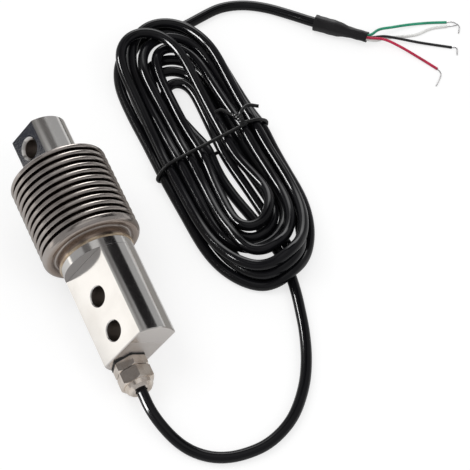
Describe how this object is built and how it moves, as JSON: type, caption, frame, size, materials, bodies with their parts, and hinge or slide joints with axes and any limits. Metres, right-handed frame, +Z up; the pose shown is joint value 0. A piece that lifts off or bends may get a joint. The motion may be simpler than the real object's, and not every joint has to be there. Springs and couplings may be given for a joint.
{
  "type": "bellows load cell",
  "caption": "Bending-beam load cell sealed by a metal bellows, with flats and clear holes for its load and fixing bolts and a glanded cable in a hank.",
  "frame": {"origin": "On the surface the cell lies on, under the middle of the box round the cell without its cable.", "axes": "+X runs along the cell from the load end to the cable gland, +Y points to the cable's hank, +Z is up from the surface; the cell is rolled about its own length and dips towards the gland as it lies."},
  "size_m": [0.2413, 0.2448, 0.05],
  "materials": {
    "steel": "nickel-plated, near mirror",
    "sheet_steel": "satin, drawn round the axis",
    "bead_steel": "weld bead with a heat tint",
    "nickel": "nickel plate, polished",
    "seal_rubber": "matte black",
    "foil": "foil on a thin carrier",
    "resin": "matte",
    "cable_jacket": "glossy black",
    "tie_wire": "black, soft",
    "sleeve": "matte black, shrunk",
    "core_green": "glossy insulation",
    "core_white": "glossy insulation",
    "core_black": "glossy insulation",
    "core_red": "glossy insulation",
    "tin": "tinned copper"
  },
  "bodies": {
    "root": {"spring_body": "steel", "bellows": "sheet_steel", "weld_ring_fixed": "bead_steel", "weld_ring_load": "bead_steel", "gauge_top_load": "foil", "gauge_top_fixed": "foil", "gauge_bottom_load": "foil", "gauge_bottom_fixed": "foil", "terminal_block": "resin", "inner_core_green": "core_green", "inner_core_white": "core_white", "inner_core_black": "core_black", "inner_core_red": "core_red", "gland_gasket": "seal_rubber", "gland_body": "nickel", "gland_seal": "seal_rubber", "gland_nut": "nickel", "cable_lead": "cable_jacket", "cable_hank": "cable_jacket", "cable_tail": "cable_jacket", "hank_tie": "tie_wire", "shrink_sleeve": "sleeve", "core_green": "core_green", "core_white": "core_white", "core_black": "core_black", "core_red": "core_red", "conductor_green": "tin", "conductor_white": "tin", "conductor_black": "tin", "conductor_red": "tin"}
  },
  "joints": []
}
